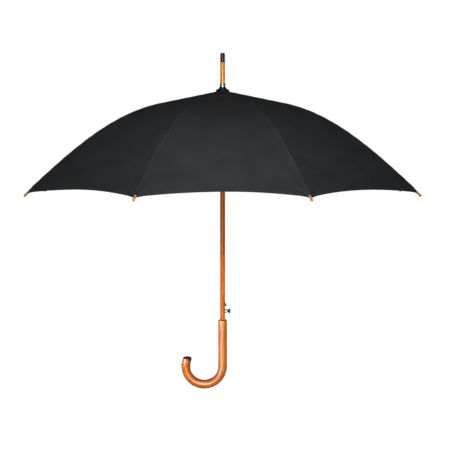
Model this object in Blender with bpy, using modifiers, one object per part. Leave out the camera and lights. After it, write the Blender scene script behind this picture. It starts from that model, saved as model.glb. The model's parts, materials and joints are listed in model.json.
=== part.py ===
"""Automatic stick umbrella with a wooden crook handle, standing open.

Metres, +Z up. The origin is on the shaft's axis at the middle of the handle's straight grip, and the crook
curls towards -X. Ribs, stretchers and struts are each drawn once in the rib plane, where +X is the radius,
+Y the tangent and +Z the height, and are then turned round the shaft to their places.
"""

import math

import bmesh
import bpy
from mathutils import Matrix, Vector

MM = 0.001

# Driving dimensions
RIBS = 8
RIB_STEP = 2 * math.pi / RIBS
FIRST_RIB = -math.pi / 2 + RIB_STEP / 2
SHAFT_R = 6.3 * MM
GRIP_R = 11.1 * MM
CROOK_R = 46.5 * MM
GRIP_TOP = 55.0 * MM
BEND_Z = -62.5 * MM
CROOK_OVERRUN = math.radians(15)
CROOK_END_Z = -43.5 * MM
APEX_Z = 632.6 * MM
TOP_Z = 725.3 * MM

# Rib line, by arc length from the axis: straight at SLOPE_TOP, then bending down to SLOPE_TOP + SLOPE_GAIN
SLOPE_TOP = math.radians(11.5)
SLOPE_GAIN = math.radians(30)
BEND_FROM = 170.0 * MM
BEND_LENGTH = 400.0 * MM
BEND_POWER = 2.2
NOTCH_S = 11.5 * MM
JOINT_S = 250.0 * MM
HEM_S = 574.0 * MM
TIP_LENGTH = 12.5 * MM
RUNNER_PIVOT_R = 11.5 * MM
SLIDER_PIVOT_R = 10.5 * MM
STRETCHER_LENGTH = 262.0 * MM
STRUT_AT = 145.0 * MM
SLIDER_ABOVE_RUNNER = 49.0 * MM

# Sections
GAP = 0.35 * MM
BAR_HALF = 0.8 * MM
BAR_RISE = 1.4 * MM
EYE_R = 2.3 * MM
EYE_HOLE_R = 1.05 * MM
PIN_R = 0.75 * MM
CHANNEL_HALF = 1.9 * MM
CHANNEL_RISE = 1.7 * MM
CHANNEL_WEB = 0.7 * MM
FABRIC = 1.0 * MM
FABRIC_OVER_RIB = 3.0 * MM
BORE_R = SHAFT_R + 0.4 * MM

COLOURS = {
    "wood": ((0.66, 0.27, 0.07), 0.35, 0.0),
    "dark_wood": ((0.05, 0.02, 0.015), 0.4, 0.0),
    "fabric": ((0.022, 0.027, 0.03), 0.8, 0.0),
    "black_plastic": ((0.015, 0.015, 0.017), 0.4, 0.0),
    "black_steel": ((0.03, 0.03, 0.033), 0.35, 1.0),
    "steel": ((0.62, 0.63, 0.64), 0.25, 1.0),
}


# ---------------------------------------------------------------- helpers


def clear_scene():
    for obj in list(bpy.data.objects):
        bpy.data.objects.remove(obj)


def new_collection(name):
    made = bpy.data.collections.new(name)
    bpy.context.scene.collection.children.link(made)
    return made


def material(name):
    colour, roughness, metallic = COLOURS[name]
    made = bpy.data.materials.new(name)
    made.use_nodes = True
    shader = made.node_tree.nodes["Principled BSDF"]
    shader.inputs["Base Color"].default_value = (*colour, 1)
    shader.inputs["Roughness"].default_value = roughness
    shader.inputs["Metallic"].default_value = metallic
    return made


def mesh_from(bm, name):
    mesh = bpy.data.meshes.new(name)
    bm.to_mesh(mesh)
    bm.free()
    return mesh


def evaluated_mesh(obj):
    """The object's evaluated mesh with its loose caps welded. The object is removed."""
    bpy.context.view_layer.update()
    graph = bpy.context.evaluated_depsgraph_get()
    mesh = bpy.data.meshes.new_from_object(obj.evaluated_get(graph))
    mesh.transform(obj.matrix_world)
    bpy.data.objects.remove(obj)
    bm = bmesh.new()
    bm.from_mesh(mesh)
    bmesh.ops.remove_doubles(bm, verts=bm.verts, dist=1e-6)
    bm.to_mesh(mesh)
    bm.free()
    return mesh


def helper_object(name, data):
    obj = bpy.data.objects.new(name, data)
    CUTTERS.objects.link(obj)
    return obj


def boolean(mesh, other, operation):
    """The mesh after a Boolean with another mesh."""
    body = helper_object("boolean_body", mesh)
    tool = helper_object("boolean_tool", other)
    step = body.modifiers.new("boolean", "BOOLEAN")
    step.operation = operation
    step.object = tool
    made = evaluated_mesh(body)
    bpy.data.objects.remove(tool)
    return made


def place(name, mesh, material_name, location=(0, 0, 0), turn=0.0):
    """An object that shows the mesh, turned about Z, with smooth round sides."""
    if not mesh.materials:
        mesh.materials.append(MATERIALS[material_name])
        mesh.shade_smooth()
        mesh.set_sharp_from_angle(angle=math.radians(35))
    obj = bpy.data.objects.new(name, mesh)
    obj.location = location
    obj.rotation_euler = (0, 0, turn)
    PARTS.objects.link(obj)
    return obj


def box(size, centre):
    bm = bmesh.new()
    bmesh.ops.create_cube(bm, size=1)
    bmesh.ops.scale(bm, vec=size, verts=bm.verts)
    bmesh.ops.translate(bm, vec=centre, verts=bm.verts)
    return mesh_from(bm, "box")


def rod(radius, start, end, segments=10):
    """A cylinder between two points."""
    start, end = Vector(start), Vector(end)
    along = end - start
    bm = bmesh.new()
    bmesh.ops.create_cone(
        bm,
        cap_ends=True,
        segments=segments,
        radius1=radius,
        radius2=radius,
        depth=along.length,
        matrix=Matrix.Translation((start + end) / 2) @ along.to_track_quat("Z", "Y").to_matrix().to_4x4(),
    )
    return mesh_from(bm, "rod")


def plate(outlines, low, high):
    """A flat piece in the rib plane from y low to y high. The outlines are (radius, height), holes after the first."""
    curve = bpy.data.curves.new("plate", "CURVE")
    curve.dimensions = "2D"
    curve.fill_mode = "BOTH"
    curve.extrude = (high - low) / 2
    for outline in outlines:
        spline = curve.splines.new("POLY")
        spline.points.add(len(outline) - 1)
        for point, (x, z) in zip(spline.points, outline):
            point.co = (x, z, 0, 1)
        spline.use_cyclic_u = True
    obj = helper_object("plate", curve)
    obj.matrix_world = Matrix.Translation((0, (low + high) / 2, 0)) @ Matrix.Rotation(math.pi / 2, 4, "X")
    return evaluated_mesh(obj)


def turned(profile, segments):
    """A turned piece about Z from a closed (radius, height) profile, which runs down its outer side."""
    bm = bmesh.new()
    corners = [bm.verts.new((r, 0, z)) for r, z in profile]
    for a, b in zip(corners, corners[1:] + corners[:1]):
        bm.edges.new((a, b))
    obj = helper_object("turned", mesh_from(bm, "turned"))
    screw = obj.modifiers.new("turn", "SCREW")
    screw.steps = segments
    screw.render_steps = segments
    screw.use_merge_vertices = True
    screw.merge_threshold = 1e-5
    return evaluated_mesh(obj)


def tube_along(points, radius, resolution, radii=None):
    """A round bar along the points, with filled caps."""
    curve = bpy.data.curves.new("tube", "CURVE")
    curve.dimensions = "3D"
    curve.bevel_depth = radius
    curve.bevel_resolution = resolution
    curve.use_fill_caps = True
    spline = curve.splines.new("POLY")
    spline.points.add(len(points) - 1)
    for i, (point, place_at) in enumerate(zip(spline.points, points)):
        point.co = (*place_at, 1)
        point.radius = radii[i] if radii else 1.0
    return evaluated_mesh(helper_object("tube", curve))


def arc(centre, radius, start, end, steps):
    """Points on a circle in a plane, from one angle to another."""
    angles = (start + (end - start) * i / steps for i in range(steps + 1))
    return [(centre[0] + radius * math.cos(a), centre[1] + radius * math.sin(a)) for a in angles]


def circle(centre, radius, steps=10):
    return arc(centre, radius, 0, 2 * math.pi * (steps - 1) / steps, steps - 1)


# ---------------------------------------------------------------- the rib plane


def slope_at(s):
    """The rib's angle below the horizontal at this arc length."""
    t = min(1.0, max(0.0, (s - BEND_FROM) / BEND_LENGTH))
    return SLOPE_TOP + SLOPE_GAIN * (1 - (1 - t) ** BEND_POWER)


def integrated_line(step=1.0 * MM):
    """The canopy's top over a rib, as (radius, height) at each millimetre of arc length."""
    points = [Vector((0.0, APEX_Z))]
    for i in range(620):
        slope = slope_at((i + 0.5) * step)
        points.append(points[-1] + step * Vector((math.cos(slope), -math.sin(slope))))
    return points


def line_point(s):
    """The canopy's top over a rib at any arc length."""
    i = min(int(s / MM), len(LINE) - 2)
    return LINE[i].lerp(LINE[i + 1], s / MM - i)


def rib_point(s, above=0.0):
    """A point on the rib's own centre line, or a distance above it along its normal."""
    slope = slope_at(s)
    drop = FABRIC_OVER_RIB + FABRIC - above
    return line_point(s) - drop * Vector((math.sin(slope), math.cos(slope)))


def towards(start, end):
    return (Vector(end) - Vector(start)).normalized()


def eye_arc(centre, facing, radius, steps=6):
    """The far half of an eye, for an outline that runs clockwise and arrives along facing."""
    a = math.atan2(facing[1], facing[0])
    return arc(centre, radius, a + math.pi / 2, a - math.pi / 2, steps)


def relative(points, origin):
    return [(x - origin[0], z - origin[1]) for x, z in points]


LINE = integrated_line()
NOTCH = rib_point(NOTCH_S)
JOINT = rib_point(JOINT_S)
STRETCHER_TILT = math.acos((JOINT[0] - RUNNER_PIVOT_R) / STRETCHER_LENGTH)
RUNNER = Vector((RUNNER_PIVOT_R, JOINT[1] - STRETCHER_LENGTH * math.sin(STRETCHER_TILT)))
STRUT_PIN = RUNNER + STRUT_AT * Vector((math.cos(STRETCHER_TILT), math.sin(STRETCHER_TILT)))
SLIDER = Vector((SLIDER_PIVOT_R, RUNNER[1] + SLIDER_ABOVE_RUNNER))
TIP_SLOPE = slope_at(HEM_S) + math.radians(3)
TIP_ALONG = Vector((math.cos(TIP_SLOPE), -math.sin(TIP_SLOPE)))
TIP_START = rib_point(HEM_S + 0.8 * MM)


# ---------------------------------------------------------------- folding frame


def rib_strip(start, end, rise, count):
    """The two long edges of a rib between two arc lengths: the top outwards and the bottom back."""
    steps = [start + (end - start) * i / count for i in range(count + 1)]
    return [rib_point(s, rise) for s in steps], [rib_point(s, -rise) for s in reversed(steps)]


def rib_inner_mesh():
    """The rib from the top notch to the stretcher joint: a flat bar with an eye at each end."""
    top, bottom = rib_strip(NOTCH_S + 3 * MM, JOINT_S - 3 * MM, BAR_RISE, 8)
    outline = top + eye_arc(JOINT, towards(top[-1], JOINT), EYE_R)
    outline += bottom + eye_arc(NOTCH, towards(bottom[-1], NOTCH), EYE_R)
    holes = [circle(NOTCH, EYE_HOLE_R), circle(JOINT, EYE_HOLE_R)]
    return plate([relative(o, NOTCH) for o in [outline, *holes]], -BAR_HALF, BAR_HALF)


def rib_outer_mesh():
    """The rib from the stretcher joint to the tip: a channel open underneath, with a round end for the tip."""
    web_from = JOINT_S + 3.6 * MM
    end_s = HEM_S - 1.5 * MM
    top, bottom = rib_strip(JOINT_S + 3 * MM, end_s, CHANNEL_RISE, 12)
    outline = top + bottom + eye_arc(JOINT, towards(top[0], JOINT), EYE_R)
    body = plate([relative(outline, JOINT), circle((0, 0), EYE_HOLE_R)], -CHANNEL_HALF, CHANNEL_HALF)
    roof, _ = rib_strip(web_from, end_s - 4 * MM, CHANNEL_RISE - CHANNEL_WEB, 12)
    _, floor = rib_strip(web_from, end_s - 4 * MM, 3 * CHANNEL_RISE, 12)
    open_end = [rib_point(JOINT_S - 6 * MM, -3 * CHANNEL_RISE), rib_point(JOINT_S - 6 * MM, 2 * CHANNEL_RISE)]
    groove = roof + floor + open_end + [rib_point(web_from, 2 * CHANNEL_RISE)]
    inside = BAR_HALF + GAP
    body = boolean(body, plate([relative(groove, JOINT)], -inside, inside), "DIFFERENCE")
    root = rib_point(end_s - 2 * MM) - JOINT
    point = TIP_START + TIP_ALONG * 7.5 * MM - JOINT
    pin = rod(PIN_R, (root[0], 0, root[1]), (point[0], 0, point[1]), 8)
    return boolean(body, pin, "UNION")


def tip_mesh():
    """The wooden bead on a rib's end, with a blind bore that the rib's round end goes into."""
    radius, bore, depth = 2.8 * MM, PIN_R + 0.35 * MM, 8.5 * MM
    profile = [(0, TIP_LENGTH), (1.6 * MM, TIP_LENGTH - 0.4 * MM), (radius * 1.12, TIP_LENGTH - 1.8 * MM)]
    profile += [(radius, 2 * MM), (radius * 0.85, 0), (bore, 0), (bore, depth), (0, depth)]
    mesh = turned(profile, 12)
    lean = math.atan2(TIP_ALONG[0], TIP_ALONG[1])
    mesh.transform(Matrix.Rotation(lean, 4, "Y"))
    return mesh


def bar_outline(start, end, rise, start_eye, end_eye):
    """A straight bar between two eyes of the given radii, clockwise, in the rib plane."""
    along = towards(start, end)
    up = Vector((-along[1], along[0])) * rise
    a, b = Vector(start) + along * start_eye, Vector(end) - along * end_eye
    return [a + up, b + up, *eye_arc(end, along, end_eye), b - up, a - up, *eye_arc(start, -along, start_eye)]


def stretcher_mesh():
    """The stretcher from the rib joint, where its fork holds the pin, to its eye in the runner."""
    inward = towards(JOINT, RUNNER)
    outline = bar_outline(JOINT + inward * 17 * MM, RUNNER, BAR_RISE, 1.5 * MM, 2.0 * MM)
    holes = [circle(RUNNER, EYE_HOLE_R - 0.1 * MM), circle(STRUT_PIN, PIN_R + 0.2 * MM, 8)]
    bar = plate([relative(o, JOINT) for o in [outline, *holes]], -BAR_HALF, BAR_HALF)
    inner = CHANNEL_HALF + GAP
    outer = inner + 0.65 * MM
    fork_outline = bar_outline(JOINT, JOINT + inward * 23 * MM, BAR_RISE, 2.0 * MM, 1.8 * MM)
    fork = plate([relative(fork_outline, JOINT)], -outer, outer)
    throat = bar_outline(JOINT - inward * 4 * MM, JOINT + inward * 18 * MM, 3 * MM, 3.2 * MM, 0.6 * MM)
    fork = boolean(fork, plate([relative(throat, JOINT)], -inner, inner), "DIFFERENCE")
    body = boolean(bar, fork, "UNION")
    return boolean(body, rod(PIN_R, (0, -inner - 0.3 * MM, 0), (0, inner + 0.3 * MM, 0), 8), "UNION")


STRUT_LOW = BAR_HALF + GAP
STRUT_HIGH = STRUT_LOW + 1.1 * MM


def strut_mesh():
    """The strut beside the stretcher, with a rivet through it, and an eye in the spring slider."""
    outline = bar_outline(STRUT_PIN, SLIDER, 1.2 * MM, 1.9 * MM, 1.7 * MM)
    holes = [circle(SLIDER, 0.8 * MM, 8)]
    body = plate([relative(o, STRUT_PIN) for o in [outline, *holes]], STRUT_LOW, STRUT_HIGH)
    rivet = rod(PIN_R - 0.15 * MM, (0, -BAR_HALF - 0.5 * MM, 0), (0, STRUT_LOW + 0.4 * MM, 0), 8)
    return boolean(body, rivet, "UNION")


def build_folding_frame():
    meshes = {
        "rib_inner": (rib_inner_mesh(), NOTCH, "black_steel"),
        "rib_outer": (rib_outer_mesh(), JOINT, "black_steel"),
        "rib_tip": (tip_mesh(), TIP_START, "wood"),
        "stretcher": (stretcher_mesh(), JOINT, "steel"),
        "strut": (strut_mesh(), STRUT_PIN, "steel"),
    }
    for i in range(RIBS):
        turn = FIRST_RIB + i * RIB_STEP
        for name, (mesh, pivot, slot) in meshes.items():
            at = Matrix.Rotation(turn, 3, "Z") @ Vector((pivot[0], 0, pivot[1]))
            place(f"{name}_{i + 1}", mesh, slot, at, turn)


# ---------------------------------------------------------------- hubs on the shaft


def slotted(mesh, inner, outer, side_low, side_high, low, high):
    """Cuts one radial slot for each rib into a turned hub, from an inner radius outwards."""
    size = (outer - inner, side_high - side_low, high - low)
    centre = ((outer + inner) / 2, (side_low + side_high) / 2, (low + high) / 2)
    for i in range(RIBS):
        cutter = box(size, centre)
        cutter.transform(Matrix.Rotation(FIRST_RIB + i * RIB_STEP, 4, "Z"))
        mesh = boolean(mesh, cutter, "DIFFERENCE")
    return mesh


NOTCH_LOW = -7.0 * MM
NOTCH_HIGH = 1.6 * MM
SLOT_HALF = BAR_HALF + GAP
WIRE_R = 0.5 * MM
GROOVE_HALF = 0.9 * MM


def build_top_notch():
    """The crown that the ribs hang from: eight slots, and a groove with a wire ring through the ribs' eyes."""
    r = NOTCH[0]
    profile = [(BORE_R, NOTCH_HIGH), (r + 2.6 * MM, NOTCH_HIGH), (r + 2.9 * MM, NOTCH_HIGH - 0.4 * MM)]
    profile += [(r + 2.9 * MM, GROOVE_HALF), (r - GROOVE_HALF, GROOVE_HALF), (r - GROOVE_HALF, -GROOVE_HALF)]
    profile += [(r + 2.9 * MM, -GROOVE_HALF), (r + 2.9 * MM, -3.4 * MM), (BORE_R + 0.9 * MM, -5.0 * MM)]
    profile += [(BORE_R + 0.9 * MM, NOTCH_LOW - 5 * MM), (BORE_R, NOTCH_LOW - 5 * MM)]
    mesh = turned(profile, 32)
    mesh = slotted(mesh, r - 2.5 * MM, r + 6 * MM, -SLOT_HALF, SLOT_HALF, NOTCH_LOW, NOTCH_HIGH + MM)
    place("top_notch", mesh, "black_plastic", (0, 0, NOTCH[1]))
    place("notch_wire", torus(r, WIRE_R), "steel", (0, 0, NOTCH[1]))


def torus(major, minor, around=48, across=6):
    """A closed wire ring as a turned circle."""
    points = circle((major, 0), minor, across)
    return turned(list(reversed(points)), around)


RUNNER_BOTTOM = -41.5 * MM
SPRING_POCKET = -21.0 * MM
SPRING_R = 7.6 * MM
SPRING_WIRE_R = 0.55 * MM
CLOSED_JOINT_R = 17.0 * MM
CLOSED_TIP_R = 23.5 * MM


def closed_height(start_z, length, across):
    """Height of a link's lower end when it hangs from start_z and reaches sideways by across."""
    return start_z - math.sqrt(length * length - across * across)


CLOSED_JOINT_Z = closed_height(NOTCH[1], (JOINT - NOTCH).length, CLOSED_JOINT_R - NOTCH[0])
RUNNER_CLOSED_Z = closed_height(CLOSED_JOINT_Z, STRETCHER_LENGTH, CLOSED_JOINT_R - RUNNER_PIVOT_R)
CATCH_LOW_Z = 89.5 * MM
CATCH_HINGE_Z = 112.0 * MM
CATCH_OUT = 4.0 * MM
BUTTON_Z = 77.5 * MM
STEM_UP = 2.7 * MM


def build_runner():
    """The sliding sleeve: a slotted flange for the stretchers, a spring pocket, and a window for the catch."""
    r = RUNNER_PIVOT_R
    pocket = SPRING_R + SPRING_WIRE_R + 0.35 * MM
    profile = [(pocket, 3.4 * MM), (r + 2.0 * MM, 3.4 * MM), (r + 2.4 * MM, 3.0 * MM), (r + 2.4 * MM, -2.8 * MM)]
    profile += [(10.6 * MM, -6.0 * MM), (9.6 * MM, -12.5 * MM), (9.5 * MM, RUNNER_BOTTOM + 7 * MM)]
    profile += [(10.8 * MM, RUNNER_BOTTOM + 5 * MM), (10.8 * MM, RUNNER_BOTTOM + 1 * MM)]
    profile += [(10.2 * MM, RUNNER_BOTTOM), (BORE_R, RUNNER_BOTTOM), (BORE_R, SPRING_POCKET)]
    profile += [(pocket, SPRING_POCKET)]
    mesh = turned(profile, 32)
    mesh = slotted(mesh, r - 2.5 * MM, r + 6 * MM, -SLOT_HALF, STRUT_HIGH + GAP, -12 * MM, 5 * MM)
    low = CATCH_LOW_Z - GAP - RUNNER_CLOSED_Z
    high = CATCH_HINGE_Z - 8 * MM - RUNNER_CLOSED_Z
    window = box((12 * MM, 4.6 * MM, high - low), (9 * MM, 0, (low + high) / 2))
    mesh = boolean(mesh, window, "DIFFERENCE")
    place("runner", mesh, "black_plastic", (0, 0, RUNNER[1]))


SLIDER_TOP = 4.0 * MM
SLIDER_BOTTOM = -5.0 * MM


def build_slider():
    """The small ring above the spring, which the struts push from."""
    r = SLIDER_PIVOT_R
    profile = [(BORE_R, SLIDER_TOP), (r + 1.2 * MM, SLIDER_TOP), (r + 1.9 * MM, SLIDER_TOP - 0.7 * MM)]
    profile += [(r + 1.9 * MM, -2.6 * MM), (8.8 * MM, SLIDER_BOTTOM + 0.6 * MM), (8.8 * MM, SLIDER_BOTTOM)]
    profile += [(BORE_R, SLIDER_BOTTOM)]
    mesh = turned(profile, 32)
    mesh = slotted(mesh, r - 2.3 * MM, r + 6 * MM, -SLOT_HALF, STRUT_HIGH + GAP, -7 * MM, 7 * MM)
    place("spring_slider", mesh, "black_plastic", (0, 0, SLIDER[1]))


def build_main_spring(turns=12, per_turn=10):
    """The compression spring round the shaft, from the runner's pocket to the slider, with closed ends."""
    low = RUNNER[1] + SPRING_POCKET + SPRING_WIRE_R + 0.3 * MM
    high = SLIDER[1] + SLIDER_BOTTOM - SPRING_WIRE_R - 0.3 * MM
    dead = 1.5 * SPRING_WIRE_R
    count = turns * per_turn
    points = []
    for i in range(count + 1):
        angle = 2 * math.pi * i / per_turn
        share = min(1.0, max(0.0, (i / per_turn - 1) / (turns - 2)))
        rise = dead * 2 * (min(i / per_turn, 1) + max(0.0, i / per_turn - turns + 1))
        z = low + rise + (high - low - 4 * dead) * share
        points.append((SPRING_R * math.cos(angle), SPRING_R * math.sin(angle), z))
    place("main_spring", tube_along(points, SPRING_WIRE_R, 1), "steel")


# ---------------------------------------------------------------- canopy

GORE_ROWS = 20
GORE_COLUMNS = 6
HEM_CORNER_S = 580.0 * MM
HEM_INSET = 20.0 * MM
GORE_SAG = 5.0 * MM
CANOPY_HOLE_S = 15.5 * MM


def seam_point(s, below, turn):
    """A point of the canopy over a rib that is turned round the shaft, a distance below its top."""
    slope = slope_at(s)
    flat = line_point(s) - below * Vector((math.sin(slope), math.cos(slope)))
    return Vector((flat[0] * math.cos(turn), flat[0] * math.sin(turn), flat[1]))


def gore_point(s, across, below=0.0):
    """A point of a gore about +X: across runs from -1 at one rib to 1 at the next, on a chord that sags."""
    half = RIB_STEP / 2
    chord = seam_point(s, below, -half).lerp(seam_point(s, below, half), (across + 1) / 2)
    lean = math.atan(math.tan(slope_at(s)) / math.cos(half))
    depth = GORE_SAG * (1 - across * across) * math.sin(math.pi * min(1.0, 0.75 * s / HEM_S + 0.1))
    return chord - depth * Vector((math.sin(lean), 0, math.cos(lean)))


def hem_length(across):
    """Arc length of the hem, which curves in a little between the ribs."""
    return HEM_CORNER_S - HEM_INSET * (1 - across * across)


def build_canopy():
    """The sewn cover as one thin closed shell of eight gores, open round the top notch's neck."""
    bm = bmesh.new()
    columns = RIBS * GORE_COLUMNS
    layers = []
    for below in (0.0, FABRIC):
        rows = []
        for row in range(GORE_ROWS + 1):
            ring = []
            for column in range(columns):
                gore, step = divmod(column, GORE_COLUMNS)
                across = 2 * step / GORE_COLUMNS - 1
                s = CANOPY_HOLE_S + (hem_length(across) - CANOPY_HOLE_S) * row / GORE_ROWS
                turn = Matrix.Rotation(FIRST_RIB + RIB_STEP * (gore + 0.5), 3, "Z")
                ring.append(bm.verts.new(turn @ gore_point(s, across, below)))
            rows.append(ring)
        layers.append(rows)
    top, under = layers
    for c in range(columns):
        d = (c + 1) % columns
        for r in range(GORE_ROWS):
            bm.faces.new((top[r][c], top[r + 1][c], top[r + 1][d], top[r][d]))
            bm.faces.new((under[r][d], under[r + 1][d], under[r + 1][c], under[r][c]))
        bm.faces.new((top[0][d], under[0][d], under[0][c], top[0][c]))
        bm.faces.new((top[-1][c], under[-1][c], under[-1][d], top[-1][d]))
    bmesh.ops.recalc_face_normals(bm, faces=bm.faces)
    place("canopy", mesh_from(bm, "canopy"), "fabric")


STRAP_RIB = 3
STRAP_FROM_S = 405.0 * MM
STRAP_TO_S = 545.0 * MM
STRAP_EDGES = (3.0 * MM, 17.0 * MM)
STRAP_LOW = 0.5 * MM
STRAP_THICK = 1.0 * MM


def strap_point(s, aside, above):
    """A point of the strap beside a seam, a distance above the gore's top, with the seam turned to +X."""
    half_width = line_point(s)[0] * math.sin(RIB_STEP / 2)
    point = gore_point(s, -1 + aside / half_width, -above)
    return Matrix.Rotation(RIB_STEP / 2, 3, "Z") @ point


def build_tie_strap(steps=8):
    """The strap that ties the rolled canopy, lying beside a seam at the back, with its press stud."""
    bm = bmesh.new()
    near, far = STRAP_EDGES
    sections = []
    for i in range(steps + 1):
        s = STRAP_FROM_S + (STRAP_TO_S - STRAP_FROM_S) * i / steps
        corners = [(near, STRAP_LOW), (near, STRAP_LOW + STRAP_THICK)]
        corners += [(far, STRAP_LOW + STRAP_THICK), (far, STRAP_LOW)]
        sections.append([bm.verts.new(strap_point(s, aside, above)) for aside, above in corners])
    for one, two in zip(sections, sections[1:]):
        for k in range(4):
            m = (k + 1) % 4
            bm.faces.new((one[k], one[m], two[m], two[k]))
    bm.faces.new(sections[0])
    bm.faces.new(sections[-1])
    bmesh.ops.recalc_face_normals(bm, faces=bm.faces)
    turn = FIRST_RIB + RIB_STEP * STRAP_RIB
    place("tie_strap", mesh_from(bm, "tie_strap"), "fabric", turn=turn)
    middle, s = (near + far) / 2, STRAP_FROM_S + 9 * MM
    centre = strap_point(s, middle, STRAP_LOW + STRAP_THICK)
    down = strap_point(s + 8 * MM, middle, 0) - strap_point(s - 8 * MM, middle, 0)
    outward = down.cross(strap_point(s, far, 0) - strap_point(s, near, 0)).normalized()
    stud = turned([(0, 1.6 * MM), (2.6 * MM, 1.4 * MM), (4.4 * MM, 0.6 * MM), (4.4 * MM, 0), (0, 0)], 16)
    stud.transform(Matrix.Translation(centre + outward * GAP) @ outward.to_track_quat("Z", "Y").to_matrix().to_4x4())
    place("strap_stud", stud, "black_steel", turn=turn)


# ---------------------------------------------------------------- shaft and top spike

SHAFT_BOTTOM = 28.0 * MM
SHAFT_TOP = 688.0 * MM
SPIKE_PEG_R = 3.0 * MM
LATCH_SLOT_HALF = 1.6 * MM
CAP_R = 16.6 * MM
CAP_LOW = APEX_Z - 14 * MM * math.tan(SLOPE_TOP) + 0.3 * MM
CAP_HIGH = 634.5 * MM
FLARE_HIGH = 640.0 * MM
COLLAR_HIGH = 648.5 * MM
SPIKE_CAP_LOW = 701.2 * MM


def build_shaft():
    """The wooden shaft: a peg for the spike at the top, and a slot for the catch and the button."""
    shoulder = COLLAR_HIGH - 2 * MM
    profile = [(0, SHAFT_TOP), (SPIKE_PEG_R - 0.5 * MM, SHAFT_TOP), (SPIKE_PEG_R, SHAFT_TOP - 1 * MM)]
    profile += [(SPIKE_PEG_R, shoulder), (SHAFT_R, shoulder), (SHAFT_R, SHAFT_BOTTOM), (0, SHAFT_BOTTOM)]
    mesh = turned(profile, 24)
    slot_low, slot_high = BUTTON_Z + STEM_UP - 1.8 * MM, CATCH_HINGE_Z + 2.2 * MM
    cutter = box(
        (2 * SHAFT_R, 2 * LATCH_SLOT_HALF, slot_high - slot_low),
        (SHAFT_R - 2 * MM, 0, (slot_low + slot_high) / 2),
    )
    mesh = boolean(mesh, cutter, "DIFFERENCE")
    place("shaft", mesh, "wood")


def build_spike():
    """The top spike: canopy cap, flared seat, metal collar, wooden spike and black end cap."""
    r = SHAFT_R + 0.3 * MM
    cap = [(r, CAP_HIGH), (CAP_R - 1.0 * MM, CAP_HIGH - 0.3 * MM), (CAP_R, CAP_HIGH - 1.2 * MM)]
    cap += [(CAP_R, CAP_LOW - (CAP_R - 14 * MM) * math.tan(SLOPE_TOP)), (14 * MM, CAP_LOW), (r, CAP_LOW)]
    place("canopy_cap", turned(cap, 32), "fabric")
    flare = [(r, FLARE_HIGH), (8.4 * MM, FLARE_HIGH), (9.1 * MM, CAP_HIGH + 3.0 * MM)]
    flare += [(13.0 * MM, CAP_HIGH + 1.1 * MM), (13.0 * MM, CAP_HIGH + 0.3 * MM), (r, CAP_HIGH + 0.3 * MM)]
    place("spike_seat", turned(flare, 32), "black_plastic")
    low = FLARE_HIGH + 0.3 * MM
    collar = [(r, COLLAR_HIGH), (7.6 * MM, COLLAR_HIGH), (8.1 * MM, COLLAR_HIGH - 0.6 * MM)]
    collar += [(8.1 * MM, low + 0.5 * MM), (7.8 * MM, low), (r, low)]
    place("spike_collar", turned(collar, 32), "steel")
    peg = SPIKE_PEG_R + 0.3 * MM
    foot = COLLAR_HIGH - 1.7 * MM
    spike = [(0, SPIKE_CAP_LOW + 12 * MM), (4.4 * MM, SPIKE_CAP_LOW + 12 * MM), (4.4 * MM, SPIKE_CAP_LOW)]
    spike += [(6.1 * MM, SPIKE_CAP_LOW), (6.8 * MM, COLLAR_HIGH + 0.3 * MM), (6.1 * MM, COLLAR_HIGH + 0.3 * MM)]
    spike += [(6.1 * MM, foot), (peg, foot)]
    spike += [(peg, SHAFT_TOP + 0.4 * MM), (0, SHAFT_TOP + 0.4 * MM)]
    place("spike", turned(spike, 24), "wood")
    end_low = SPIKE_CAP_LOW + 0.3 * MM
    bore = 4.4 * MM + 0.3 * MM
    end = [(0, TOP_Z), (3.6 * MM, TOP_Z), (5.0 * MM, TOP_Z - 0.7 * MM), (5.6 * MM, TOP_Z - 2.4 * MM)]
    end += [(5.9 * MM, end_low), (bore, end_low), (bore, SPIKE_CAP_LOW + 12.3 * MM)]
    end += [(0, SPIKE_CAP_LOW + 12.3 * MM)]
    place("spike_cap", turned(end, 24), "black_plastic")


# ---------------------------------------------------------------- handle


def build_handle():
    """The bent wooden crook, bored for the shaft, and the dark cap on its end."""
    centre = (-CROOK_R, BEND_Z)
    bend = arc(centre, CROOK_R, 0, -math.pi - CROOK_OVERRUN, 20)
    lean = math.tan(CROOK_OVERRUN)
    beyond = CROOK_END_Z + 6 * MM - bend[-1][1]
    bend.append((bend[-1][0] + beyond * lean, bend[-1][1] + beyond))
    points = [(0, 0, GRIP_TOP), (0, 0, GRIP_TOP - 1.5 * MM), (0, 0, 0)] + [(x, 0, z) for x, z in bend]
    radii = [0.95, 1.0, 1.0] + [1.0 + 0.03 * i / len(bend) for i in range(len(bend))]
    mesh = tube_along(points, GRIP_R, 4, radii)
    tip = Vector((bend[-1][0] - 6 * MM * lean, 0, CROOK_END_Z))
    mesh = boolean(mesh, box((40 * MM, 40 * MM, 20 * MM), (tip.x, 0, tip.z + 10 * MM)), "DIFFERENCE")
    socket = rod(
        SHAFT_R + 0.3 * MM, (0, 0, SHAFT_BOTTOM - 0.4 * MM), (0, 0, GRIP_TOP + 10 * MM), 24
    )
    place("handle", boolean(mesh, socket, "DIFFERENCE"), "wood")
    profile = [(0, 5.0 * MM), (5.5 * MM, 4.6 * MM), (9.0 * MM, 3.4 * MM), (10.9 * MM, 1.6 * MM), (11.2 * MM, 0)]
    profile += [(0, 0)]
    place("handle_end_cap", turned(profile, 24), "dark_wood", tip + Vector((0, 0, GAP)))


# ---------------------------------------------------------------- catch and button

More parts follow.
